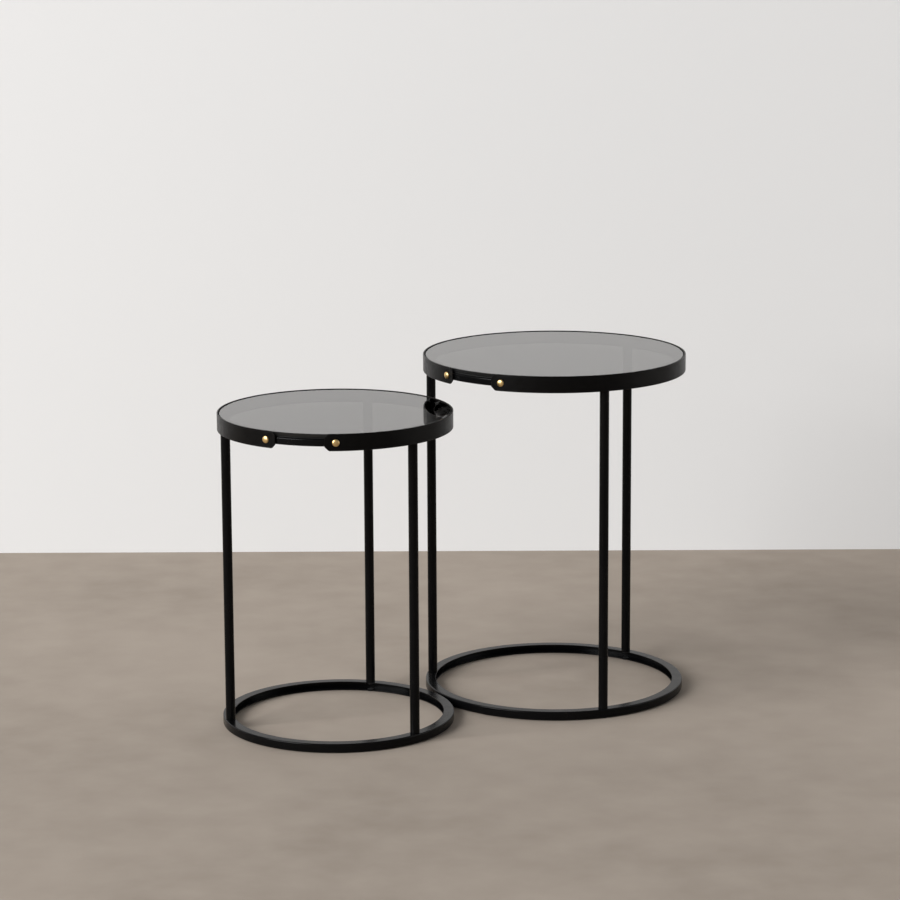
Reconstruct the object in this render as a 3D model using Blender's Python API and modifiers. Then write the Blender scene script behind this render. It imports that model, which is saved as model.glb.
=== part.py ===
"""A pair of round nesting side tables, in metres, +Z up.

Each table is a knock-down steel frame: a channel ring on the floor, three tube legs and a channel
ring under the top. A smoked glass disc rests on a gasket, inside a leather strap that is wrapped
round the top and held at its two ends by brass studs.

The origin is on the floor, in the middle of the pair. Angles round a table are measured from its
front, -Y, and are positive towards +X.
"""

import math
from collections import namedtuple

import bmesh
import bpy
from mathutils import Matrix, Vector

MM = 0.001
FIT = 0.3 * MM  # between two pieces that touch
PAST = 2 * MM  # how far a cutter reaches past what it cuts

# ---- driving dimensions -------------------------------------------------------------------
SMALL_DIAMETER = 395 * MM  # over the strap
SMALL_HEIGHT = 537 * MM  # floor to the strap's top edge
LARGE_DIAMETER = 454 * MM
LARGE_HEIGHT = 596 * MM
TABLE_GAP = 3 * MM  # between the two straps
PAIR_ANGLE = math.radians(28.3)  # of the line of centres, from +X towards +Y

# ---- strap and top ------------------------------------------------------------------------
STRAP_THICKNESS = 2.4 * MM
STRAP_WIDTH = 28.5 * MM
STRAP_GAP = 84 * MM  # along the rim, between the strap's two ends
STRAP_CLIP = 7 * MM  # each corner of an end is cut off at 45 degrees
GAP_CUTTER_DEPTH = 30 * MM
STUD_SPACING = 120 * MM  # along the rim
STUD_DEPTH = 14.8 * MM  # below the strap's top edge
GLASS_DEPTH = 1 * MM  # below the strap's top edge
GLASS_THICKNESS = 6 * MM
GLASS_INSET = 4.2 * MM  # from the strap's outside to the glass edge
GLASS_CHAMFER = 0.6 * MM
GASKET_THICKNESS = 1.9 * MM
GASKET_INSET = 6 * MM
GASKET_WIDTH = 10 * MM

# ---- frame --------------------------------------------------------------------------------
SHEET = 1.8 * MM  # wall of both channels
TOP_RING_INSET = STRAP_THICKNESS + FIT
TOP_RING_WIDTH = 16 * MM
TOP_RING_HEIGHT = 12 * MM
TOP_RING_BOTTOM = 21.5 * MM  # below the strap's top edge
LEG_RADIUS = 8 * MM
LEG_WALL = 1.5 * MM
LEG_INSET = TOP_RING_INSET + LEG_RADIUS
BASE_RING_INSET = 1.2 * MM
BASE_RING_WIDTH = 17.5 * MM
BASE_RING_HEIGHT = 15 * MM

# ---- fittings -----------------------------------------------------------------------------
PAD_THICKNESS = 1 * MM
PAD_RADIUS = 7 * MM
PAD_PLUG_RADIUS = 5.5 * MM
PAD_PLUG_LENGTH = 2 * MM
ACCESS_RADIUS = PAD_PLUG_RADIUS + FIT  # the hole that a leg screw is put in through
INSERT_LENGTH = 14 * MM
SCREW_RADIUS = 3 * MM
SCREW_LENGTH = 13 * MM
SCREW_HEAD_RADIUS = 5.2 * MM
SCREW_HEAD_HEIGHT = 3.2 * MM
SOCKET_RADIUS = 2.3 * MM  # over the corners of the hexagon
SOCKET_DEPTH = 1.8 * MM
STUD_HEAD_RADIUS = 6 * MM
STUD_HEAD_HEIGHT = 3 * MM
STUD_SHANK_RADIUS = 1.6 * MM
STUD_SHANK_LENGTH = 8.3 * MM
NUT_RADIUS = 3.2 * MM
NUT_THICKNESS = 2.4 * MM
NUT_CLEARANCE = 0.7 * MM  # to the web, whose facets cut inside its true circle

# ---- facets -------------------------------------------------------------------------------
RING_STEPS = 60
STRAP_STEPS = 90
TUBE_STEPS = 20
FITTING_STEPS = 12
STUD_STEPS = 16
SOCKET_SIDES = 6
SHARP_ANGLE = math.radians(35)
UPSIDE_DOWN = Matrix.Rotation(math.pi, 4, "X")
MERGE = 0.01 * MM

Look = namedtuple("Look", "name colour roughness metallic")
BLACK_PAINT = Look("black_powder_coat", (0.012, 0.012, 0.013), 0.45, 0.0)
BLACK_LEATHER = Look("black_leather", (0.012, 0.011, 0.011), 0.50, 0.0)
SMOKED_GLASS = Look("smoked_glass", (0.100, 0.100, 0.100), 0.03, 0.0)
BRASS = Look("satin_brass", (0.720, 0.500, 0.220), 0.28, 1.0)
BLACK_ZINC = Look("black_zinc_steel", (0.050, 0.050, 0.055), 0.40, 1.0)
RUBBER = Look("black_rubber", (0.020, 0.020, 0.020), 0.75, 0.0)
NYLON = Look("black_nylon", (0.030, 0.030, 0.030), 0.60, 0.0)

# leg_angle is the left leg's, and gap_angle is where the strap's two ends face each other.
Table = namedtuple("Table", "name radius height leg_angle gap_angle")
SMALL = Table(
    "small", SMALL_DIAMETER / 2, SMALL_HEIGHT, math.radians(-76.5), math.radians(-16.2)
)
LARGE = Table(
    "large", LARGE_DIAMETER / 2, LARGE_HEIGHT, math.radians(-100), math.radians(-41)
)
LEG_NAMES = ("left", "front", "back")


def clear_scene():
    for thing in list(bpy.data.objects):
        bpy.data.objects.remove(thing, do_unlink=True)


def material(look):
    """The Principled material of one finish, made the first time that it is asked for."""
    made = bpy.data.materials.get(look.name)
    if made is None:
        made = bpy.data.materials.new(look.name)
        made.use_nodes = True
        shader = made.node_tree.nodes["Principled BSDF"]
        shader.inputs["Base Color"].default_value = (*look.colour, 1.0)
        shader.inputs["Roughness"].default_value = look.roughness
        shader.inputs["Metallic"].default_value = look.metallic
    return made


# ---- places -------------------------------------------------------------------------------
def upright(radius, angle, height=0.0):
    """A place at this radius and angle from a table's axis, with its Z up."""
    return Matrix.Translation((radius * math.sin(angle), -radius * math.cos(angle), height))


def facing_out(radius, angle, height):
    """The same, with its Z pointing away from the table's axis."""
    lie_down = Matrix.Rotation(math.radians(90), 4, "X")
    return upright(radius, angle, height) @ Matrix.Rotation(angle, 4, "Z") @ lie_down


# ---- shapes -------------------------------------------------------------------------------
def turned(profile, steps):
    """A solid turned about Z. The profile's points (radius, height) run down its outer side. It
    starts and ends on the axis, or it is a closed section away from the axis."""
    edges = [(i, i + 1) for i in range(len(profile) - 1)]
    if profile[0][0] > 0:
        edges.append((len(profile) - 1, 0))
    mesh = bpy.data.meshes.new("profile")
    mesh.from_pydata([(radius, 0, height) for radius, height in profile], edges, [])
    thing = bpy.data.objects.new("turned", mesh)
    bpy.context.scene.collection.objects.link(thing)
    screw = thing.modifiers.new("turn", "SCREW")
    screw.steps = steps
    screw.render_steps = steps
    screw.use_merge_vertices = True
    screw.merge_threshold = MERGE
    return thing


def box_section(inner, outer, low, high):
    return [(outer, high), (outer, low), (inner, low), (inner, high)]


def channel_section(inner, outer, low, high):
    """A channel bent from sheet, open towards the axis."""
    web = outer - SHEET
    return [
        (outer, high),
        (outer, low),
        (inner, low),
        (inner, low + SHEET),
        (web, low + SHEET),
        (web, high - SHEET),
        (inner, high - SHEET),
        (inner, high),
    ]


def cylinder(radius, low, high, steps):
    return turned([(0, high), (radius, high), (radius, low), (0, low)], steps)


def mesh_of(thing):
    """The object's evaluated mesh, shaded smooth except at its corners. The object is removed."""
    bpy.context.view_layer.update()
    graph = bpy.context.evaluated_depsgraph_get()
    mesh = bpy.data.meshes.new_from_object(thing.evaluated_get(graph))
    mesh.shade_smooth()
    mesh.set_sharp_from_angle(angle=SHARP_ANGLE)
    bpy.data.objects.remove(thing, do_unlink=True)
    return mesh


def welded(mesh):
    """The mesh with the loose caps of a curve joined to its sides."""
    shape = bmesh.new()
    shape.from_mesh(mesh)
    bmesh.ops.remove_doubles(shape, verts=shape.verts, dist=MERGE)
    bmesh.ops.recalc_face_normals(shape, faces=shape.faces)
    shape.to_mesh(mesh)
    shape.free()
    return mesh


def cut(thing, *cutters):
    for cutter in cutters:
        boolean = thing.modifiers.new(cutter.name, "BOOLEAN")
        boolean.operation = "DIFFERENCE"
        boolean.solver = "EXACT"
        boolean.object = cutter
    return thing


def add_part(name, look, mesh, parent, place=None):
    """One named piece of the assembly, at a place in its table's space."""
    if not mesh.materials:
        mesh.materials.append(material(look))
    part = bpy.data.objects.new(name, mesh)
    parts.objects.link(part)
    part.parent = parent
    part.matrix_local = place or Matrix.Identity(4)


def add_cutter(name, mesh, parent=None, place=None):
    cutter = bpy.data.objects.new(name, mesh)
    cutters.objects.link(cutter)
    cutter.hide_render = True
    cutter.display_type = "WIRE"
    cutter.parent = parent
    cutter.matrix_local = place or Matrix.Identity(4)
    return cutter


# ---- fittings, each made once and shared by its copies ------------------------------------
def leg_screw_mesh():
    """A button head screw with its head down. The plane under its head is at z 0."""
    bottom = -SCREW_HEAD_HEIGHT
    crown = 0.6 * SCREW_HEAD_RADIUS
    profile = [
        (0, SCREW_LENGTH),
        (SCREW_RADIUS, SCREW_LENGTH),
        (SCREW_RADIUS, 0),
        (SCREW_HEAD_RADIUS, 0),
        (SCREW_HEAD_RADIUS, 0.35 * bottom),
        (crown, bottom),
        (0, bottom),
    ]
    socket = cylinder(SOCKET_RADIUS, bottom - PAST, bottom + SOCKET_DEPTH, SOCKET_SIDES)
    key = add_cutter("hex_socket", mesh_of(socket))
    return mesh_of(cut(turned(profile, FITTING_STEPS), key))


def leg_insert_mesh():
    """The threaded plug in the end of a leg, from z 0 upwards."""
    bore, outside = SCREW_RADIUS + FIT, LEG_RADIUS - LEG_WALL - FIT
    return mesh_of(turned(box_section(bore, outside, 0, INSERT_LENGTH), FITTING_STEPS))


def floor_pad_mesh():
    """A glide whose plug fills the base ring's access hole."""
    edge = 0.2 * PAD_THICKNESS
    profile = [
        (0, PAD_THICKNESS + PAD_PLUG_LENGTH),
        (PAD_PLUG_RADIUS, PAD_THICKNESS + PAD_PLUG_LENGTH),
        (PAD_PLUG_RADIUS, PAD_THICKNESS),
        (PAD_RADIUS, PAD_THICKNESS),
        (PAD_RADIUS, edge),
        (PAD_RADIUS - edge, 0),
        (0, 0),
    ]
    return mesh_of(turned(profile, STUD_STEPS))


def stud_mesh():
    """A domed stud. The plane under its head is at z 0, and its shank runs down -Z."""
    bands = 4
    skirt = 0.2 * STUD_HEAD_HEIGHT
    dome = [
        (STUD_HEAD_RADIUS * math.sin(turn), skirt + (STUD_HEAD_HEIGHT - skirt) * math.cos(turn))
        for turn in (math.radians(90) * i / bands for i in range(1, bands + 1))
    ]
    shank = [
        (STUD_HEAD_RADIUS, 0),
        (STUD_SHANK_RADIUS, 0),
        (STUD_SHANK_RADIUS, -STUD_SHANK_LENGTH),
        (0, -STUD_SHANK_LENGTH),
    ]
    return mesh_of(turned([(0, STUD_HEAD_HEIGHT)] + dome + shank, STUD_STEPS))


def stud_nut_mesh():
    """The round nut on a stud's shank, from z 0 down."""
    section = box_section(STUD_SHANK_RADIUS + FIT, NUT_RADIUS, -NUT_THICKNESS, 0)
    return mesh_of(turned(section, FITTING_STEPS))


def access_cutter_mesh(height):
    """A screw hole through the upper wall of a channel this high, from z 0, and a wide one below."""
    wide, narrow, step = ACCESS_RADIUS, SCREW_RADIUS + FIT, height / 2
    profile = [
        (0, height + PAST),
        (narrow, height + PAST),
        (narrow, step),
        (wide, step),
        (wide, -PAST),
        (0, -PAST),
    ]
    return mesh_of(turned(profile, STUD_STEPS))


# ---- a table ------------------------------------------------------------------------------
def strap_gap_cutter(table, axis):
    """The space between the strap's ends, as a flat outline that is pushed through the strap.
    It is narrowest in the middle and widens at 45 degrees towards the strap's two edges."""
    half_gap = STRAP_GAP / 2
    reach = STRAP_CLIP + PAST
    straight = STRAP_WIDTH / 2 - STRAP_CLIP
    narrow = table.radius * math.sin(half_gap / table.radius)
    wide = table.radius * math.sin((half_gap + reach) / table.radius)
    right_side = [
        (wide, -straight - reach),
        (narrow, -straight),
        (narrow, straight),
        (wide, straight + reach),
    ]
    left_side = [(-x, y) for x, y in reversed(right_side)]
    outline = bpy.data.curves.new("strap_gap", "CURVE")
    outline.dimensions = "2D"
    outline.fill_mode = "BOTH"
    outline.extrude = GAP_CUTTER_DEPTH / 2
    spline = outline.splines.new("POLY")
    corners = right_side + left_side
    spline.points.add(len(corners) - 1)
    spline.use_cyclic_u = True
    for point, (x, y) in zip(spline.points, corners):
        point.co = (x, y, 0, 1)
    thing = bpy.data.objects.new("strap_gap", outline)
    bpy.context.scene.collection.objects.link(thing)
    middle = table.height - STRAP_WIDTH / 2
    place = facing_out(table.radius, table.gap_angle, middle)
    return add_cutter(f"{table.name}_strap_gap", welded(mesh_of(thing)), axis, place)


def leg_angles(table):
    third = math.tau / len(LEG_NAMES)
    return {leg: table.leg_angle + i * third for i, leg in enumerate(LEG_NAMES)}


def stud_angles(table):
    half = STUD_SPACING / 2 / table.radius
    return {"left": table.gap_angle - half, "right": table.gap_angle + half}


def add_frame(table, axis, stud_holes, screw_mesh, insert_mesh):
    """The two rings, and the legs bolted between them."""
    name = table.name
    leg_circle = table.radius - LEG_INSET

    base_low = PAD_THICKNESS + FIT
    base_high = base_low + BASE_RING_HEIGHT
    base_outer = table.radius - BASE_RING_INSET
    base = turned(
        channel_section(base_outer - BASE_RING_WIDTH, base_outer, base_low, base_high),
        RING_STEPS,
    )
    top_low = table.height - TOP_RING_BOTTOM
    top_high = top_low + TOP_RING_HEIGHT
    top_outer = table.radius - TOP_RING_INSET
    top = turned(
        channel_section(top_outer - TOP_RING_WIDTH, top_outer, top_low, top_high),
        RING_STEPS,
    )

    foot_cutter = access_cutter_mesh(BASE_RING_HEIGHT)
    head_cutter = access_cutter_mesh(TOP_RING_HEIGHT)
    leg_low, leg_high = base_high + FIT, top_low - FIT
    leg_section = box_section(LEG_RADIUS - LEG_WALL, LEG_RADIUS, leg_low, leg_high)
    leg_mesh = mesh_of(turned(leg_section, TUBE_STEPS))
    foot_holes, head_holes = [], []
    for leg, angle in leg_angles(table).items():
        add_part(f"{name}_leg_{leg}", BLACK_PAINT, leg_mesh, axis, upright(leg_circle, angle))

        foot = upright(leg_circle, angle, leg_low)
        add_part(f"{name}_foot_insert_{leg}", BLACK_ZINC, insert_mesh, axis, foot)
        under_roof = upright(leg_circle, angle, base_high - SHEET - FIT)
        add_part(f"{name}_foot_screw_{leg}", BLACK_ZINC, screw_mesh, axis, under_roof)
        ring_foot = upright(leg_circle, angle, base_low)
        foot_holes.append(add_cutter(f"{name}_foot_hole_{leg}", foot_cutter, axis, ring_foot))

        head = upright(leg_circle, angle, leg_high) @ UPSIDE_DOWN
        add_part(f"{name}_head_insert_{leg}", BLACK_ZINC, insert_mesh, axis, head)
        on_floor = upright(leg_circle, angle, top_low + SHEET + FIT) @ UPSIDE_DOWN
        add_part(f"{name}_head_screw_{leg}", BLACK_ZINC, screw_mesh, axis, on_floor)
        ring_head = upright(leg_circle, angle, top_high) @ UPSIDE_DOWN
        head_holes.append(add_cutter(f"{name}_head_hole_{leg}", head_cutter, axis, ring_head))

    for ring, ring_name, holes in (
        (base, "base_ring", foot_holes),
        (top, "top_ring", head_holes + stud_holes),
    ):
        ring.matrix_world = axis.matrix_world
        add_part(f"{name}_{ring_name}", BLACK_PAINT, mesh_of(cut(ring, *holes)), axis)


def add_strap(table, axis, stud_holes):
    section = box_section(
        table.radius - STRAP_THICKNESS, table.radius, table.height - STRAP_WIDTH, table.height
    )
    strap = turned(section, STRAP_STEPS)
    strap.matrix_world = axis.matrix_world
    cut(strap, strap_gap_cutter(table, axis), *stud_holes)
    add_part(f"{table.name}_leather_strap", BLACK_LEATHER, mesh_of(strap), axis)


def add_glass(table, axis):
    high = table.height - GLASS_DEPTH
    low = high - GLASS_THICKNESS
    edge = table.radius - GLASS_INSET
    profile = [
        (0, high),
        (edge - GLASS_CHAMFER, high),
        (edge, high - GLASS_CHAMFER),
        (edge, low + GLASS_CHAMFER),
        (edge - GLASS_CHAMFER, low),
        (0, low),
    ]
    add_part(f"{table.name}_glass_top", SMOKED_GLASS, mesh_of(turned(profile, RING_STEPS)), axis)
    gasket_outer = table.radius - GASKET_INSET
    gasket_high = low - FIT
    section = box_section(
        gasket_outer - GASKET_WIDTH, gasket_outer, gasket_high - GASKET_THICKNESS, gasket_high
    )
    add_part(f"{table.name}_glass_gasket", RUBBER, mesh_of(turned(section, RING_STEPS)), axis)


def add_table(table, centre, screw_mesh, insert_mesh, pad_mesh, head_mesh, nut_mesh):
    """All of one table, parented to an empty on its axis at the floor."""
    axis = bpy.data.objects.new(f"{table.name}_table_axis", None)
    parts.objects.link(axis)
    axis.location = centre
    bpy.context.view_layer.update()

    stud_height = table.height - STUD_DEPTH
    hole = mesh_of(cylinder(STUD_SHANK_RADIUS + FIT, -STUD_SHANK_LENGTH, PAST, STUD_STEPS))
    behind_web = table.radius - TOP_RING_INSET - SHEET - NUT_CLEARANCE
    stud_holes = []
    for side, angle in stud_angles(table).items():
        on_strap = facing_out(table.radius + FIT, angle, stud_height)
        stud_holes.append(add_cutter(f"{table.name}_stud_hole_{side}", hole, axis, on_strap))
        add_part(f"{table.name}_strap_stud_{side}", BRASS, head_mesh, axis, on_strap)
        in_channel = facing_out(behind_web, angle, stud_height)
        add_part(f"{table.name}_stud_nut_{side}", BRASS, nut_mesh, axis, in_channel)

    add_frame(table, axis, stud_holes, screw_mesh, insert_mesh)
    add_strap(table, axis, stud_holes)
    add_glass(table, axis)
    for leg, angle in leg_angles(table).items():
        place = upright(table.radius - LEG_INSET, angle)
        add_part(f"{table.name}_floor_pad_{leg}", NYLON, pad_mesh, axis, place)


def table_centres():
    """The two tables' axes on the floor. The pair's box is centred on the origin. Its front is the
    small table's front stud, and its other sides are the two straps."""
    between = SMALL.radius + LARGE.radius + TABLE_GAP
    step = Vector((between * math.cos(PAIR_ANGLE), between * math.sin(PAIR_ANGLE), 0))
    stud_reach = SMALL.radius + FIT + STUD_HEAD_HEIGHT
    front = -stud_reach * math.cos(stud_angles(SMALL)["right"])
    middle = Vector(
        (
            (step.x + LARGE.radius - SMALL.radius) / 2,
            (step.y + LARGE.radius + front) / 2,
            0,
        )
    )
    return -middle, step - middle


clear_scene()
parts = bpy.data.collections.new("nesting_tables")
cutters = bpy.data.collections.new("cutters")
for collection in (parts, cutters):
    bpy.context.scene.collection.children.link(collection)
fittings = (
    leg_screw_mesh(),
    leg_insert_mesh(),
    floor_pad_mesh(),
    stud_mesh(),
    stud_nut_mesh(),
)
for table, centre in zip((SMALL, LARGE), table_centres()):
    add_table(table, centre, *fittings)
bpy.context.view_layer.update()
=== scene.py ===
"""The looks of a pair of round nesting side tables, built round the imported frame. Metres, +Z up.

Each visible piece is made again with rounded edges and fine facets where its CAD node lies, and
stands for that node. The threaded inserts, which are out of sight, stay as CAD nodes. Angles round
a table are measured from its front, -Y, and are positive towards +X.
"""

import math
from collections import namedtuple

import bmesh
import bpy
from mathutils import Matrix, Vector


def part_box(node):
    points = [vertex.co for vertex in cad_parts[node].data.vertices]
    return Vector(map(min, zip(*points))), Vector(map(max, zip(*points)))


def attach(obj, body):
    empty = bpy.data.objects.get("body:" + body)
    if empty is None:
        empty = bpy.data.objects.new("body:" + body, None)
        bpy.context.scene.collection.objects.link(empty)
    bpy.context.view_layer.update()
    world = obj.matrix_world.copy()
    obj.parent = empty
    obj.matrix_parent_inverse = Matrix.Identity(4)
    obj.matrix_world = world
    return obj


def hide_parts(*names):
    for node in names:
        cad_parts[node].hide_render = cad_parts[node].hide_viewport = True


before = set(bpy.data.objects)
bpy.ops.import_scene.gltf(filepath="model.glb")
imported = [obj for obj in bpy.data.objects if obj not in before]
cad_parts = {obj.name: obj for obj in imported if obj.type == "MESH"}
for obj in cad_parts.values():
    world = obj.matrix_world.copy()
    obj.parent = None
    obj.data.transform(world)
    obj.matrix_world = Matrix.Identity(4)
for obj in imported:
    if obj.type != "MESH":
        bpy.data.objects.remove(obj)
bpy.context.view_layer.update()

MM = 0.001
FIT = 0.3 * MM  # between two pieces that touch
PAST = 2 * MM  # how far a cutter reaches past what it cuts

# ---- sizes that the nodes' boxes don't give, as in the CAD ---------------------------------
SHEET = 1.8 * MM
BASE_RING_INSET = 1.2 * MM  # from the strap's outside
BASE_RING_WIDTH = 17.5 * MM
TOP_RING_WIDTH = 16 * MM
LEG_WALL = 1.5 * MM
STRAP_THICKNESS = 2.4 * MM
STRAP_WIDTH = 28.5 * MM
STRAP_GAP = 84 * MM
STRAP_CLIP = 7 * MM
GLASS_DEPTH = 1 * MM
ACCESS_RADIUS = 5.8 * MM
SCREW_HOLE_RADIUS = 3.3 * MM
SCREW_RADIUS = 3 * MM
SCREW_HEAD_RADIUS = 5.2 * MM
SCREW_HEAD_HEIGHT = 3.2 * MM
SOCKET_RADIUS = 2.3 * MM
SOCKET_DEPTH = 1.8 * MM
PAD_PLUG_RADIUS = 5.5 * MM
STUD_HEAD_RADIUS = 6 * MM
STUD_HEAD_HEIGHT = 3 * MM
STUD_SHANK_RADIUS = 1.6 * MM
STUD_SHANK_LENGTH = 8.3 * MM
STUD_HOLE_RADIUS = 1.9 * MM
NUT_RADIUS = 3.2 * MM
NUT_THICKNESS = 2.4 * MM
GASKET_WIDTH = 10 * MM
PAD_THICKNESS = 1 * MM

# ---- finish of the shapes ------------------------------------------------------------------
RING_STEPS = 240
TUBE_STEPS = 72
FITTING_STEPS = 48
ARC_STEPS = 4  # in each rounded corner of a profile
SHARP_ANGLE = math.radians(40)
SHEET_BEND = 1.9 * MM  # outside of each bend of the two channels
SHEET_ROOT = 0.4 * MM  # and inside of it
SHEET_LIP = 0.5 * MM
TUBE_EDGE = 0.35 * MM
GLASS_ARRIS = 0.7 * MM
LEVEL = 0.95  # a face's normal is steeper than this on the flat of the glass
RUBBER_EDGE = 0.5 * MM
FITTING_EDGE = 0.3 * MM
PAD_EDGE = 0.5 * MM
SCREW_CROWN = 0.55  # the flat of a screw's head, as a part of its radius
SCREW_SKIRT = 0.3  # the straight side of the head, as a part of its height
STUD_SKIRT = 0.2  # and of a stud's
UPSIDE_DOWN = Matrix.Rotation(math.pi, 4, "X")

LEG_NAMES = ("left", "front", "back")
SIDES = ("left", "right")


# ---- shaders -------------------------------------------------------------------------------
class Finish:
    """A Principled material for one of the record's slots, or with a name of its own. Even values
    go on the shader's own sockets, and patterns are nodes on the piece's object coordinates."""

    def __init__(self, slot, **sockets):
        self.slot = slot
        self.material = bpy.data.materials.new(slot + "_finish")
        self.material.use_nodes = True
        self.tree = self.material.node_tree
        self.shader = self.tree.nodes["Principled BSDF"]
        self.output = self.tree.nodes["Material Output"]
        for name, value in sockets.items():
            self.shader.inputs[name.replace("_", " ")].default_value = value
        self.place = self.node("ShaderNodeTexCoord").outputs["Object"]

    def node(self, kind, settings=None, **inputs):
        made = self.tree.nodes.new(kind)
        for name, value in (settings or {}).items():
            setattr(made, name, value)
        for name, value in inputs.items():
            socket = made.inputs[name.replace("_", " ")]
            if isinstance(value, bpy.types.NodeSocket):
                self.tree.links.new(value, socket)
            else:
                socket.default_value = value
        return made

    def stretched(self, scale):
        return self.node("ShaderNodeMapping", Vector=self.place, Scale=scale).outputs["Vector"]

    def noise(self, size, detail=2.0, place=None):
        """Soft noise whose blotches are about this big."""
        made = self.node(
            "ShaderNodeTexNoise", Vector=place or self.place, Scale=1 / size, Detail=detail
        )
        return made.outputs["Fac"]

    def cells(self, size):
        """The distance to the edges of cells about this big."""
        made = self.node(
            "ShaderNodeTexVoronoi", {"feature": "DISTANCE_TO_EDGE"}, Vector=self.place, Scale=1 / size
        )
        return made.outputs["Distance"]

    def span(self, factor, low, high, start=0.3, end=0.7):
        """A number from low to high as factor goes from start to end."""
        made = self.node("ShaderNodeMapRange")
        self.tree.links.new(factor, made.inputs["Value"])
        for name, value in (
            ("From Min", start),
            ("From Max", end),
            ("To Min", low),
            ("To Max", high),
        ):
            made.inputs[name].default_value = value
        return made.outputs["Result"]

    def between(self, factor, first, second):
        """A colour from first to second. Either one is a colour or another node's."""
        made = self.node("ShaderNodeMix", {"data_type": "RGBA"})
        self.tree.links.new(factor, made.inputs["Factor"])
        for socket, colour in zip((made.inputs[6], made.inputs[7]), (first, second)):
            if isinstance(colour, bpy.types.NodeSocket):
                self.tree.links.new(colour, socket)
            else:
                socket.default_value = (*colour, 1.0)
        return made.outputs[2]

    def blend(self, factor, source, value):
        """A number that goes from another node's to this value."""
        made = self.node("ShaderNodeMix", {"data_type": "FLOAT"}, B=value)
        self.tree.links.new(factor, made.inputs["Factor"])
        self.tree.links.new(source, made.inputs["A"])
        return made.outputs["Result"]

    def set(self, name, source):
        self.tree.links.new(source, self.shader.inputs[name])

    def bump(self, height, depth, strength=1.0):
        """Adds relief this deep, on top of what is there."""
        under = self.shader.inputs["Normal"]
        made = self.node("ShaderNodeBump", Strength=strength, Distance=depth, Height=height)
        if under.is_linked:
            self.tree.links.new(under.links[0].from_socket, made.inputs["Normal"])
        self.tree.links.new(made.outputs["Normal"], under)


def powder_coat():
    """Satin black paint with a fine orange peel."""
    finish = Finish("black_powder_coat", Specular_IOR_Level=0.10)
    blotches = finish.noise(35 * MM)
    finish.set(
        "Base Color", finish.between(blotches, (0.0016, 0.0016, 0.0018), (0.0032, 0.0032, 0.0034))
    )
    finish.set("Roughness", finish.span(finish.noise(12 * MM, 3), 0.18, 0.25))
    finish.bump(finish.noise(1.6 * MM), 0.05 * MM, 0.5)
    finish.bump(finish.noise(0.4 * MM), 0.012 * MM, 0.5)
    return finish


def leather():
    """Black leather with a pebbled grain. Its cut edges are smoother and a little browner."""
    finish = Finish("black_leather", Specular_IOR_Level=0.09)
    cut_edge = finish.node("ShaderNodeAttribute", {"attribute_name": "cut_edge"}).outputs["Fac"]
    face = finish.between(
        finish.noise(14 * MM, 4), (0.0014, 0.0013, 0.0013), (0.0036, 0.0033, 0.0032)
    )
    finish.set("Base Color", finish.between(cut_edge, face, (0.006, 0.0048, 0.0042)))
    rough = finish.span(finish.noise(9 * MM, 3), 0.29, 0.40)
    finish.set("Roughness", finish.blend(cut_edge, rough, 0.27))
    grain = finish.span(finish.cells(0.9 * MM), 0.0, 1.0, 0.0, 0.25)
    finish.bump(grain, 0.07 * MM, 0.45)
    finish.bump(finish.noise(3.5 * MM, 4), 0.10 * MM, 0.35)
    return finish


def brass():
    """Satin brass with fine scratches."""
    finish = Finish("satin_brass", Metallic=1.0)
    blotches = finish.noise(2.5 * MM, 3)
    finish.set("Base Color", finish.between(blotches, (0.66, 0.44, 0.17), (0.80, 0.58, 0.28)))
    finish.set("Roughness", finish.span(finish.noise(1.2 * MM, 3), 0.30, 0.40))
    scratches = finish.noise(0.35 * MM, 2, finish.stretched((1.0, 1.0, 0.12)))
    finish.bump(scratches, 0.01 * MM, 0.4)
    return finish


def smoked_glass():
    """Clear grey glass that takes light away with depth. Its faces have the faintest haze and a
    little more shine than plain glass."""
    finish = Finish("smoked_glass", Transmission_Weight=1.0, IOR=1.52, Coat_Weight=0.25)
    finish.shader.inputs["Base Color"].default_value = (1.0, 1.0, 1.0, 1.0)
    finish.set("Roughness", finish.span(finish.noise(60 * MM, 3), 0.0, 0.012))
    inside = finish.node("ShaderNodeVolumeAbsorption", Color=(0.02, 0.01, 0.0, 1.0), Density=335.0)
    finish.tree.links.new(inside.outputs["Volume"], finish.output.inputs["Volume"])
    return finish


def ground_edge():
    """The ground rim of the glass. Its colour holds painted light: it is lighter towards the top,
    standing in for light that comes in through the top face and scatters out of the rim.
    """
    finish = Finish("glass_ground_edge")
    near_top = finish.node("ShaderNodeAttribute", {"attribute_name": "near_top"}).outputs["Fac"]
    # painted light: the base colour goes from dark at the bottom of the rim to lighter at its top
    finish.set(
        "Base Color", finish.between(near_top, (0.010, 0.0105, 0.0105), (0.050, 0.052, 0.051))
    )
    finish.set("Roughness", finish.span(finish.noise(0.8 * MM, 3), 0.38, 0.55))
    finish.bump(finish.noise(0.35 * MM, 2), 0.02 * MM, 0.5)
    return finish


def black_zinc():
    """Dull black plating with faint stains."""
    finish = Finish("black_zinc_steel", Metallic=1.0)
    stain = finish.noise(3 * MM, 3)
    finish.set("Base Color", finish.between(stain, (0.040, 0.042, 0.048), (0.070, 0.068, 0.066)))
    finish.set("Roughness", finish.span(finish.noise(1 * MM, 2), 0.34, 0.48))
    finish.bump(finish.noise(0.3 * MM), 0.01 * MM, 0.5)
    return finish


def rubber():
    """Matt black rubber."""
    finish = Finish("black_rubber", Specular_IOR_Level=0.35)
    finish.set("Base Color", finish.between(finish.noise(6 * MM, 3), (0.006,) * 3, (0.010,) * 3))
    finish.set("Roughness", finish.span(finish.noise(2 * MM, 2), 0.65, 0.85))
    finish.bump(finish.noise(0.5 * MM), 0.03 * MM, 0.6)
    return finish


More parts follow.
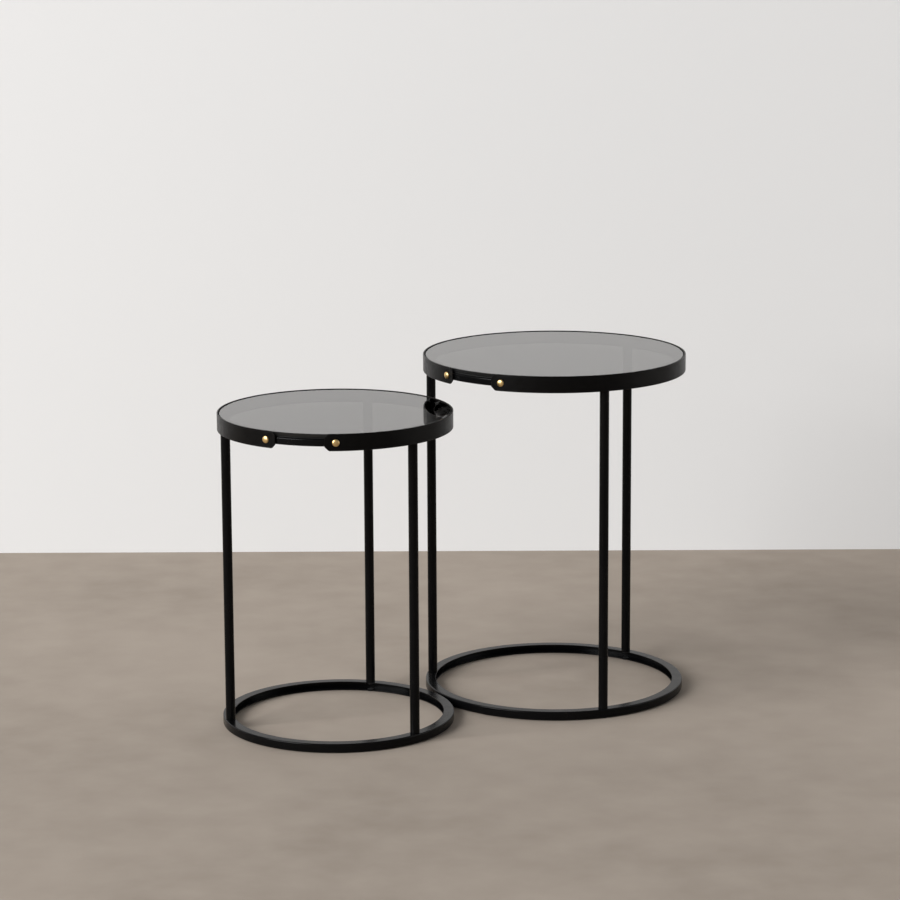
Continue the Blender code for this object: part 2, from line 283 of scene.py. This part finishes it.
def nylon():
    """Moulded black plastic."""
    finish = Finish("black_nylon")
    finish.set("Base Color", finish.between(finish.noise(4 * MM, 2), (0.018,) * 3, (0.028,) * 3))
    finish.set("Roughness", finish.span(finish.noise(1.5 * MM, 2), 0.45, 0.60))
    finish.bump(finish.noise(0.3 * MM), 0.02 * MM, 0.5)
    return finish


# ---- shapes --------------------------------------------------------------------------------
def rounded(corners):
    """An outline with its corners (x, y, radius) made round. Radius 0 leaves a corner sharp."""
    outline = []
    for i, (x, y, radius) in enumerate(corners):
        corner = Vector((x, y))
        if radius == 0:
            outline.append((x, y))
            continue
        before = (Vector(corners[i - 1][:2]) - corner).normalized()
        after = (Vector(corners[(i + 1) % len(corners)][:2]) - corner).normalized()
        half = before.angle(after) / 2
        middle = corner + (before + after).normalized() * radius / math.sin(half)
        start = corner + before * radius / math.tan(half) - middle
        sweep = start.angle_signed(corner + after * radius / math.tan(half) - middle)
        for step in range(ARC_STEPS + 1):
            turned_by = Matrix.Rotation(-sweep * step / ARC_STEPS, 2)
            outline.append(tuple(middle + turned_by @ start))
    return outline


def turned(profile, steps):
    """A mesh turned about Z from an outline of (radius, height). The outline runs from the axis to
    the axis, or it is a closed section away from it."""
    shape = bmesh.new()
    rings = []
    for radius, height in profile:
        count = steps if radius > 0 else 1
        turns = (math.tau * i / steps for i in range(count))
        rings.append(
            [shape.verts.new((radius * math.cos(t), radius * math.sin(t), height)) for t in turns]
        )
    pairs = list(zip(rings, rings[1:]))
    if profile[0][0] > 0:
        pairs.append((rings[-1], rings[0]))
    for upper, lower in pairs:
        for i in range(steps):
            j = (i + 1) % steps
            corners = [upper[i % len(upper)], upper[j % len(upper)]]
            corners += [lower[j % len(lower)], lower[i % len(lower)]]
            shape.faces.new(list(dict.fromkeys(corners)))
    return mesh_from(shape)


def mesh_from(shape):
    bmesh.ops.recalc_face_normals(shape, faces=shape.faces)
    mesh = bpy.data.meshes.new("shape")
    shape.to_mesh(mesh)
    shape.free()
    return mesh


def placed(mesh, place):
    """A copy of the mesh moved to a place in the row frame."""
    moved = mesh.copy()
    moved.transform(place)
    return moved


def cut(mesh, cutters):
    """The mesh with these meshes taken away from it."""
    thing = bpy.data.objects.new("uncut", mesh)
    bpy.context.scene.collection.objects.link(thing)
    helpers = []
    for cutter in cutters:
        helper = bpy.data.objects.new("cutter", cutter)
        bpy.context.scene.collection.objects.link(helper)
        helpers.append(helper)
        boolean = thing.modifiers.new("cut", "BOOLEAN")
        boolean.operation = "DIFFERENCE"
        boolean.solver = "EXACT"
        boolean.object = helper
    bpy.context.view_layer.update()
    graph = bpy.context.evaluated_depsgraph_get()
    result = bpy.data.meshes.new_from_object(thing.evaluated_get(graph))
    for helper in [thing, *helpers]:
        bpy.data.objects.remove(helper, do_unlink=True)
    return result


def channel_profile(inner, outer, low, high):
    """The section of a channel bent from sheet, open towards the axis."""
    web = outer - SHEET
    return rounded(
        [
            (outer, high, SHEET_BEND),
            (outer, low, SHEET_BEND),
            (inner, low, SHEET_LIP),
            (inner, low + SHEET, SHEET_LIP),
            (web, low + SHEET, SHEET_ROOT),
            (web, high - SHEET, SHEET_ROOT),
            (inner, high - SHEET, SHEET_LIP),
            (inner, high, SHEET_LIP),
        ]
    )


def box_profile(inner, outer, low, high, edge):
    return rounded(
        [(outer, high, edge), (outer, low, edge), (inner, low, edge), (inner, high, edge)]
    )


# ---- places --------------------------------------------------------------------------------
def facing_out(table, radius, angle, height):
    """A place at this radius and angle from a table's axis, with its Z pointing away from it."""
    spot = table.centre + Vector((radius * math.sin(angle), -radius * math.cos(angle), height))
    lie_down = Matrix.Rotation(math.radians(90), 4, "X")
    return Matrix.Translation(spot) @ Matrix.Rotation(angle, 4, "Z") @ lie_down


def middle_of(node):
    low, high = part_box(node)
    return (low + high) / 2


def angle_round(centre, node):
    spot = middle_of(node) - centre
    return math.atan2(spot.x, -spot.y)


Table = namedtuple("Table", "name centre radius height stud_angles gap_angle")


def read_table(name):
    low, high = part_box(f"{name}_base_ring")
    centre = Vector(((low.x + high.x) / 2, (low.y + high.y) / 2, 0))
    stud_angles = {side: angle_round(centre, f"{name}_strap_stud_{side}") for side in SIDES}
    return Table(
        name,
        centre,
        (high.x - low.x) / 2 + BASE_RING_INSET,
        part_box(f"{name}_glass_top")[1].z + GLASS_DEPTH,
        stud_angles,
        sum(stud_angles.values()) / len(SIDES),
    )


# ---- pieces --------------------------------------------------------------------------------
def add_piece(node, mesh, finish, body):
    """A finished piece that stands for a CAD node of the same place."""
    mesh.materials.clear()
    mesh.materials.append(finish.material)
    mesh.shade_smooth()
    mesh.set_sharp_from_angle(angle=SHARP_ANGLE)
    mesh.name = node + "_fine"
    piece = bpy.data.objects.new(node + "_fine", mesh)
    bpy.context.scene.collection.objects.link(piece)
    weighted = piece.modifiers.new("flat_faces_stay_flat", "WEIGHTED_NORMAL")
    weighted.keep_sharp = True
    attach(piece, body)
    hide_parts(node)
    return piece


def access_cutter(height):
    """A screw hole through the far wall of a channel this high, and a wide one in the near wall."""
    return turned(
        [
            (0, height + PAST),
            (SCREW_HOLE_RADIUS, height + PAST),
            (SCREW_HOLE_RADIUS, height / 2),
            (ACCESS_RADIUS, height / 2),
            (ACCESS_RADIUS, -PAST),
            (0, -PAST),
        ],
        FITTING_STEPS,
    )


def channel_ring(table, node, width):
    low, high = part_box(node)
    outer = (high.x - low.x) / 2
    mesh = turned(channel_profile(outer - width, outer, low.z, high.z), RING_STEPS)
    return placed(mesh, Matrix.Translation(table.centre)), low.z, high.z


def add_frame(table, paint):
    name, body = table.name, f"{table.name}_table"
    legs = [middle_of(f"{name}_leg_{leg}") for leg in LEG_NAMES]

    base, low, high = channel_ring(table, f"{name}_base_ring", BASE_RING_WIDTH)
    foot_hole = access_cutter(high - low)
    holes = [placed(foot_hole, Matrix.Translation((leg.x, leg.y, low))) for leg in legs]
    add_piece(f"{name}_base_ring", cut(base, holes), paint, body)

    top, low, high = channel_ring(table, f"{name}_top_ring", TOP_RING_WIDTH)
    head_hole = access_cutter(high - low)
    holes = [
        placed(head_hole, Matrix.Translation((leg.x, leg.y, high)) @ UPSIDE_DOWN) for leg in legs
    ]
    stud_hole = turned(
        [
            (0, PAST),
            (STUD_HOLE_RADIUS, PAST),
            (STUD_HOLE_RADIUS, -STUD_SHANK_LENGTH),
            (0, -STUD_SHANK_LENGTH),
        ],
        FITTING_STEPS,
    )
    for side, angle in table.stud_angles.items():
        stud_height = middle_of(f"{name}_strap_stud_{side}").z
        holes.append(placed(stud_hole, facing_out(table, table.radius, angle, stud_height)))
    add_piece(f"{name}_top_ring", cut(top, holes), paint, body)

    for leg, spot in zip(LEG_NAMES, legs):
        low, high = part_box(f"{name}_leg_{leg}")
        radius = (high.x - low.x) / 2
        profile = box_profile(radius - LEG_WALL, radius, low.z, high.z, TUBE_EDGE)
        tube = placed(turned(profile, TUBE_STEPS), Matrix.Translation((spot.x, spot.y, 0)))
        add_piece(f"{name}_leg_{leg}", tube, paint, body)


def screw_mesh():
    """A button head screw with its head down. The plane under its head is at z 0."""
    node_low, node_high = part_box("small_foot_screw_left")
    tip = node_high.z - node_low.z - SCREW_HEAD_HEIGHT
    crown = SCREW_CROWN * SCREW_HEAD_RADIUS
    skirt = SCREW_SKIRT * SCREW_HEAD_HEIGHT
    bands = 6
    dome = []
    for i in range(bands + 1):
        turn = math.radians(90) * i / bands
        out = crown + (SCREW_HEAD_RADIUS - crown) * math.cos(turn)
        dome.append((out, -skirt - (SCREW_HEAD_HEIGHT - skirt) * math.sin(turn)))
    profile = [
        (0, tip),
        (SCREW_RADIUS - FITTING_EDGE, tip),
        (SCREW_RADIUS, tip - FITTING_EDGE),
        (SCREW_RADIUS, 0),
        (SCREW_HEAD_RADIUS, 0),
        *dome,
        (0, -SCREW_HEAD_HEIGHT),
    ]
    low, high = -SCREW_HEAD_HEIGHT - PAST, -SCREW_HEAD_HEIGHT + SOCKET_DEPTH
    key = turned([(0, high), (SOCKET_RADIUS, high), (SOCKET_RADIUS, low), (0, low)], 6)
    return cut(turned(profile, FITTING_STEPS), [key])


def pad_mesh():
    """A floor pad with its underside at z 0."""
    low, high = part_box("small_floor_pad_left")
    radius = (high.x - low.x) / 2
    profile = rounded(
        [
            (0, high.z, 0),
            (PAD_PLUG_RADIUS, high.z, FITTING_EDGE),
            (PAD_PLUG_RADIUS, PAD_THICKNESS, 0),
            (radius, PAD_THICKNESS, FITTING_EDGE),
            (radius, 0, PAD_EDGE),
            (0, 0, 0),
        ]
    )
    return turned(profile, FITTING_STEPS)


def stud_mesh():
    """A domed stud. The plane under its head is at z 0, and its shank runs down -Z."""
    bands = 12
    skirt = STUD_SKIRT * STUD_HEAD_HEIGHT
    dome = [(0, STUD_HEAD_HEIGHT)]
    for i in range(1, bands + 1):
        turn = math.radians(90) * i / bands
        height = skirt + (STUD_HEAD_HEIGHT - skirt) * math.cos(turn)
        dome.append((STUD_HEAD_RADIUS * math.sin(turn), height))
    shank = [
        (STUD_HEAD_RADIUS, 0),
        (STUD_SHANK_RADIUS, 0),
        (STUD_SHANK_RADIUS, -STUD_SHANK_LENGTH),
        (0, -STUD_SHANK_LENGTH),
    ]
    return turned(dome + shank, FITTING_STEPS)


def add_fittings(table, finishes, screw, pad, stud, nut):
    name, body = table.name, f"{table.name}_table"
    for leg in LEG_NAMES:
        spot = middle_of(f"{name}_foot_screw_{leg}")
        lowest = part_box(f"{name}_foot_screw_{leg}")[0].z
        place = Matrix.Translation((spot.x, spot.y, lowest + SCREW_HEAD_HEIGHT))
        add_piece(f"{name}_foot_screw_{leg}", placed(screw, place), finishes["zinc"], body)
        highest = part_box(f"{name}_head_screw_{leg}")[1].z
        place = Matrix.Translation((spot.x, spot.y, highest - SCREW_HEAD_HEIGHT)) @ UPSIDE_DOWN
        add_piece(f"{name}_head_screw_{leg}", placed(screw, place), finishes["zinc"], body)
        place = Matrix.Translation((spot.x, spot.y, 0))
        add_piece(f"{name}_floor_pad_{leg}", placed(pad, place), finishes["nylon"], body)
        for end in ("foot", "head"):
            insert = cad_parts[f"{name}_{end}_insert_{leg}"]
            insert.data.materials.clear()
            insert.data.materials.append(finishes["zinc"].material)
    for side, angle in table.stud_angles.items():
        height = middle_of(f"{name}_strap_stud_{side}").z
        on_strap = facing_out(table, table.radius, angle, height)
        add_piece(f"{name}_strap_stud_{side}", placed(stud, on_strap), finishes["brass"], body)
        nut_node = f"{name}_stud_nut_{side}"
        spot = middle_of(nut_node) - table.centre
        reach = math.hypot(spot.x, spot.y) + NUT_THICKNESS / 2
        place = facing_out(table, reach, angle, height)
        add_piece(nut_node, placed(nut, place), finishes["brass"], body)


def add_glass(table, finishes):
    node = f"{table.name}_glass_top"
    low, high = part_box(node)
    radius = (high.x - low.x) / 2
    profile = rounded(
        [
            (0, high.z, 0),
            (radius, high.z, GLASS_ARRIS),
            (radius, low.z, GLASS_ARRIS),
            (0, low.z, 0),
        ]
    )
    disc = placed(turned(profile, RING_STEPS), Matrix.Translation(table.centre))
    # the height up the rim, 0 at the bottom to 1 at the top, which sets how much painted light the
    # rim's colour holds
    near_top = disc.attributes.new("near_top", "FLOAT", "POINT")
    for vertex, value in zip(disc.vertices, near_top.data):
        value.value = (vertex.co.z - low.z) / (high.z - low.z)
    piece = add_piece(node, disc, finishes["glass"], f"{table.name}_glass")
    disc.materials.append(finishes["ground edge"].material)
    for face in disc.polygons:
        face.material_index = 1 if abs(face.normal.z) < LEVEL else 0
    return piece


def add_gasket(table, finishes):
    node = f"{table.name}_glass_gasket"
    low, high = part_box(node)
    outer = (high.x - low.x) / 2
    profile = box_profile(outer - GASKET_WIDTH, outer, low.z, high.z, RUBBER_EDGE)
    gasket = placed(turned(profile, RING_STEPS), Matrix.Translation(table.centre))
    add_piece(node, gasket, finishes["rubber"], f"{table.name}_table")


# ---- the leather strap ---------------------------------------------------------------------
END_ROUNDING = 0.7 * MM
ROUNDEST = 0.95  # the most that an edge is rounded, as a part of half the thickness
END_LIFT = 1.3 * MM  # how far a strap end stands off the ring
LIFT_LENGTH = 15 * MM  # the stretch over which it lifts
CREASE_INSET = 2.4 * MM  # of the creased line along each edge
CREASE_DEPTH = 0.22 * MM
CREASE_WIDTH = 0.45 * MM
CREASE_FADE = 6 * MM  # the stretch over which the crease comes in, past the clipped corners
DIMPLE_DEPTH = 0.45 * MM
DIMPLE_REACH = 8 * MM
STUD_TO_END = 18 * MM
STUD_UP = STRAP_WIDTH / 2 - 14.8 * MM  # of the stud, from the middle of the strap's width
CLIP_SOFTNESS = 2 * MM
CUT_END = 0.8 * MM  # how much of each end looks cut
SWELL, SWELL_RUN = 0.05 * MM, 23 * MM  # slight unevenness along the strap
RIPPLE, RIPPLE_RUN, RIPPLE_SLANT = 0.04 * MM, 9 * MM, 6 * MM  # and slantwise across it
FIRST_STEP = 0.12 * MM
STEP_GROWTH = 0.11
LONGEST_STEP = 3.4 * MM
FACE_STEPS = 22  # across the outside, between the creases
CREASE_STEPS = 6
BACK_STEPS = 8


def strap_stations(length):
    """Distances along the strap, close together near its two ends."""
    stations, here = [], 0.0
    while here < length / 2:
        stations.append(here)
        here += FIRST_STEP + min(here * STEP_GROWTH, LONGEST_STEP)
    return stations + [length / 2] + [length - s for s in reversed(stations)]


def strap_half_width(from_end):
    """Half of the strap's width, this far from its nearer end. Its corners are clipped at 45
    degrees, with the sharpness taken off."""
    straight = STRAP_WIDTH / 2
    clipped = straight - STRAP_CLIP + from_end
    blend = max(CLIP_SOFTNESS - abs(straight - clipped), 0) / CLIP_SOFTNESS
    return min(straight, clipped) - blend * blend * CLIP_SOFTNESS / 4


def strap_section(half_width, inset):
    """The strap's section there as (across, outwards, cut_edge), with across up and outwards away
    from the table. Everything is drawn in by inset at the rounded ends."""
    half = half_width - inset
    outside = STRAP_THICKNESS - inset
    edge = min(END_ROUNDING, (outside - inset) / 2 * ROUNDEST)
    flats = [half - edge]
    for i in range(CREASE_STEPS + 1):
        flats.append(half - CREASE_INSET + CREASE_WIDTH * (1 - 2 * i / CREASE_STEPS))
    inner_half = half - CREASE_INSET - CREASE_WIDTH
    for i in range(1, FACE_STEPS):
        flats.append(inner_half * (1 - 2 * i / FACE_STEPS))
    for i in range(CREASE_STEPS + 1):
        flats.append(-half + CREASE_INSET + CREASE_WIDTH * (1 - 2 * i / CREASE_STEPS))
    flats.append(-half + edge)
    back = [(half - edge) * (2 * i / BACK_STEPS - 1) for i in range(1, BACK_STEPS)]

    def corner(across, outwards, start):
        turns = [math.radians(start + 90 * i / ARC_STEPS) for i in range(ARC_STEPS + 1)]
        return [
            (across + edge * math.cos(turn), outwards + edge * math.sin(turn), 1.0)
            for turn in turns
        ]

    return [
        *((across, outside, 0.0) for across in flats),
        *corner(-half + edge, outside - edge, 90),
        *corner(-half + edge, inset + edge, 180),
        *((across, inset, 0.0) for across in back),
        *corner(half - edge, inset + edge, 270),
        *corner(half - edge, outside - edge, 0),
    ]


def strap_relief(across, outwards, along, from_end, half_width):
    """How far the leather stands off its plain shape: the lifted end, the creased lines, the hollow
    round the stud, and the slight unevenness of hide."""
    off = END_LIFT * max(1 - from_end / LIFT_LENGTH, 0) ** 2
    off += SWELL * math.sin(along / SWELL_RUN)
    off += RIPPLE * math.sin(along / RIPPLE_RUN + across / RIPPLE_SLANT)
    if outwards > STRAP_THICKNESS / 2:
        from_crease = abs(abs(across) - (half_width - CREASE_INSET)) / CREASE_WIDTH
        fade = min(max(from_end - STRAP_CLIP, 0) / CREASE_FADE, 1)
        off -= fade * CREASE_DEPTH * max(1 - from_crease, 0) ** 2
        from_stud = math.hypot(from_end - STUD_TO_END, across - STUD_UP) / DIMPLE_REACH
        off -= DIMPLE_DEPTH * max(1 - from_stud**2, 0) ** 2
    return off


def strap_mesh(table):
    half_gap = STRAP_GAP / 2 / table.radius
    length = (math.tau - 2 * half_gap) * table.radius
    shape = bmesh.new()
    cut_edge = shape.verts.layers.float.new("cut_edge")
    inside = table.radius - STRAP_THICKNESS
    middle = table.height - STRAP_WIDTH / 2
    rings = []
    for along in strap_stations(length):
        from_end = min(along, length - along)
        half_width = strap_half_width(from_end)
        short = max(END_ROUNDING - from_end, 0)
        inset = END_ROUNDING - math.sqrt(END_ROUNDING**2 - short**2)
        angle = table.gap_angle + half_gap + along / table.radius
        ring = []
        for across, outwards, edge in strap_section(half_width, inset):
            relief = strap_relief(across, outwards, along, from_end, half_width)
            radius = inside + outwards + relief
            spot = Vector((radius * math.sin(angle), -radius * math.cos(angle), middle + across))
            vertex = shape.verts.new(table.centre + spot)
            vertex[cut_edge] = max(edge, 1 - from_end / CUT_END)
            ring.append(vertex)
        rings.append(ring)
    for ring, following in zip(rings, rings[1:]):
        for i in range(len(ring)):
            j = (i + 1) % len(ring)
            shape.faces.new([ring[i], ring[j], following[j], following[i]])
    shape.faces.new(rings[0])
    shape.faces.new(rings[-1])
    return mesh_from(shape)


def add_strap(table, finishes):
    add_piece(
        f"{table.name}_leather_strap", strap_mesh(table), finishes["leather"], f"{table.name}_table"
    )


# ---- the room ------------------------------------------------------------------------------
WALL_PLACE = 1.10  # along +Y
WALL_TURN = math.radians(-1.17)
FLOOR_SIDE = 16.0
WALL_HEIGHT = 3.4
ROOM_LOOK = 0.75  # the world's strength to look at
ROOM_GLOSS = 0.35  # in gloss
ROOM_LIGHT = 0.12  # and as a light
ROOM_COLOUR = (0.95, 0.97, 1.0, 1.0)


def plane(name, width, depth, place, finish):
    shape = bmesh.new()
    corners = ((-1, -1), (1, -1), (1, 1), (-1, 1))
    shape.faces.new([shape.verts.new((x * width / 2, y * depth / 2, 0)) for x, y in corners])
    mesh = bpy.data.meshes.new(name)
    shape.to_mesh(mesh)
    shape.free()
    mesh.materials.append(finish.material)
    thing = bpy.data.objects.new(name, mesh)
    bpy.context.scene.collection.objects.link(thing)
    thing.matrix_world = place


def from_front_only(finish):
    """The surface hides nothing from behind, so that the camera may go there."""
    behind = finish.node("ShaderNodeNewGeometry").outputs["Backfacing"]
    clear = finish.node("ShaderNodeBsdfTransparent")
    choose = finish.node("ShaderNodeMixShader")
    finish.tree.links.new(behind, choose.inputs[0])
    finish.tree.links.new(finish.shader.outputs[0], choose.inputs[1])
    finish.tree.links.new(clear.outputs[0], choose.inputs[2])
    finish.tree.links.new(choose.outputs[0], finish.output.inputs["Surface"])
    return finish


def floor_finish():
    """Plain pale concrete."""
    finish = Finish("stage_floor", Specular_IOR_Level=0.12)
    wide = finish.noise(0.55, 4)
    small = finish.noise(0.09, 5)
    pale = finish.between(
        finish.span(wide, 0.0, 1.0), (0.308, 0.261, 0.218), (0.383, 0.327, 0.277)
    )
    patches = finish.span(small, 0.0, 0.5)
    finish.set("Base Color", finish.between(patches, pale, (0.428, 0.371, 0.317)))
    finish.set("Roughness", finish.span(small, 0.80, 0.86))
    return from_front_only(finish)


def wall_finish():
    """Plain pale plaster."""
    finish = Finish("stage_wall", Roughness=0.9)
    finish.shader.inputs["Base Color"].default_value = (0.785, 0.785, 0.785, 1.0)
    return from_front_only(finish)


def add_light(name, place, aim, width, height, power):
    light = bpy.data.lights.new(name, "AREA")
    light.shape = "RECTANGLE"
    light.size = width
    light.size_y = height
    light.energy = power
    thing = bpy.data.objects.new(name, light)
    bpy.context.scene.collection.objects.link(thing)
    thing.location = place
    thing.rotation_mode = "QUATERNION"
    thing.rotation_quaternion = (Vector(aim) - Vector(place)).to_track_quat("-Z", "Y")
    thing.visible_camera = False
    return thing


def add_world():
    """Pale to look at, but weak as a light, as in a dim room with a window."""
    world = bpy.data.worlds.new("studio")
    world.use_nodes = True
    tree = world.node_tree
    background = tree.nodes["Background"]
    background.inputs["Color"].default_value = ROOM_COLOUR
    ray = tree.nodes.new("ShaderNodeLightPath").outputs
    in_gloss, as_light = tree.nodes.new("ShaderNodeMix"), tree.nodes.new("ShaderNodeMix")
    tree.links.new(ray["Is Glossy Ray"], in_gloss.inputs["Factor"])
    in_gloss.inputs["A"].default_value = ROOM_LOOK
    in_gloss.inputs["B"].default_value = ROOM_GLOSS
    tree.links.new(ray["Is Diffuse Ray"], as_light.inputs["Factor"])
    tree.links.new(in_gloss.outputs["Result"], as_light.inputs["A"])
    as_light.inputs["B"].default_value = ROOM_LIGHT
    tree.links.new(as_light.outputs["Result"], background.inputs["Strength"])
    bpy.context.scene.world = world


def add_room():
    """Floor, wall and light. It returns the two lights."""
    plane("floor", FLOOR_SIDE, FLOOR_SIDE, Matrix.Identity(4), floor_finish())
    upright = Matrix.Rotation(WALL_TURN, 4, "Z") @ Matrix.Rotation(math.radians(90), 4, "X")
    place = Matrix.Translation((0, WALL_PLACE, WALL_HEIGHT / 2)) @ upright
    plane("wall", FLOOR_SIDE, WALL_HEIGHT, place, wall_finish())
    add_world()
    fill = add_light(
        "fill", place=(6.5, -0.3, 1.2), aim=(0.2, 0, 0.3), width=5.0, height=3.2, power=125
    )
    window = add_light(
        "window", place=(-11.6, -8.1, 6.9), aim=(0, 0.2, 0.3), width=9.6, height=8.6, power=3430
    )
    return fill, window


def keep_off(light, pieces):
    """The light doesn't fall on these pieces, where its mirror image would be a white glare. They
    still shade what is under them."""
    receivers = bpy.data.collections.new(light.name + "_receivers")
    light.light_linking.receiver_collection = receivers
    for piece in pieces:
        receivers.objects.link(piece)
    for member in receivers.collection_objects:
        member.light_linking.link_state = "EXCLUDE"


# ---- the camera ----------------------------------------------------------------------------
CAMERA_PLACE = (-0.104, -5.428, 1.579)
CAMERA_PITCH = math.radians(11.81)  # down
CAMERA_YAW = math.radians(-1.00)
CAMERA_ROLL = math.radians(-0.29)
CAMERA_LENS = 129.6  # mm, on a sensor this wide
CAMERA_SENSOR = 36.0
CAMERA_REACH = 60.0


def add_camera():
    camera = bpy.data.cameras.new("camera")
    camera.lens = CAMERA_LENS
    camera.sensor_width = CAMERA_SENSOR
    camera.clip_end = CAMERA_REACH
    thing = bpy.data.objects.new("camera", camera)
    bpy.context.scene.collection.objects.link(thing)
    thing.matrix_world = (
        Matrix.Translation(CAMERA_PLACE)
        @ Matrix.Rotation(CAMERA_YAW, 4, "Z")
        @ Matrix.Rotation(math.radians(90) - CAMERA_PITCH, 4, "X")
        @ Matrix.Rotation(CAMERA_ROLL, 4, "Z")
    )
    bpy.context.scene.camera = thing


# ---- everything ----------------------------------------------------------------------------
add_camera()
lights = add_room()
finishes = {
    "paint": powder_coat(),
    "leather": leather(),
    "brass": brass(),
    "glass": smoked_glass(),
    "ground edge": ground_edge(),
    "zinc": black_zinc(),
    "rubber": rubber(),
    "nylon": nylon(),
}
nut_profile = box_profile(STUD_SHANK_RADIUS + FIT, NUT_RADIUS, -NUT_THICKNESS, 0, FITTING_EDGE)
fittings = (screw_mesh(), pad_mesh(), stud_mesh(), turned(nut_profile, FITTING_STEPS))
discs = []
for table in (read_table("small"), read_table("large")):
    add_frame(table, finishes["paint"])
    add_fittings(table, finishes, *fittings)
    discs.append(add_glass(table, finishes))
    add_gasket(table, finishes)
    add_strap(table, finishes)
for light in lights:
    keep_off(light, discs)
bpy.context.scene.view_settings.view_transform = "Standard"
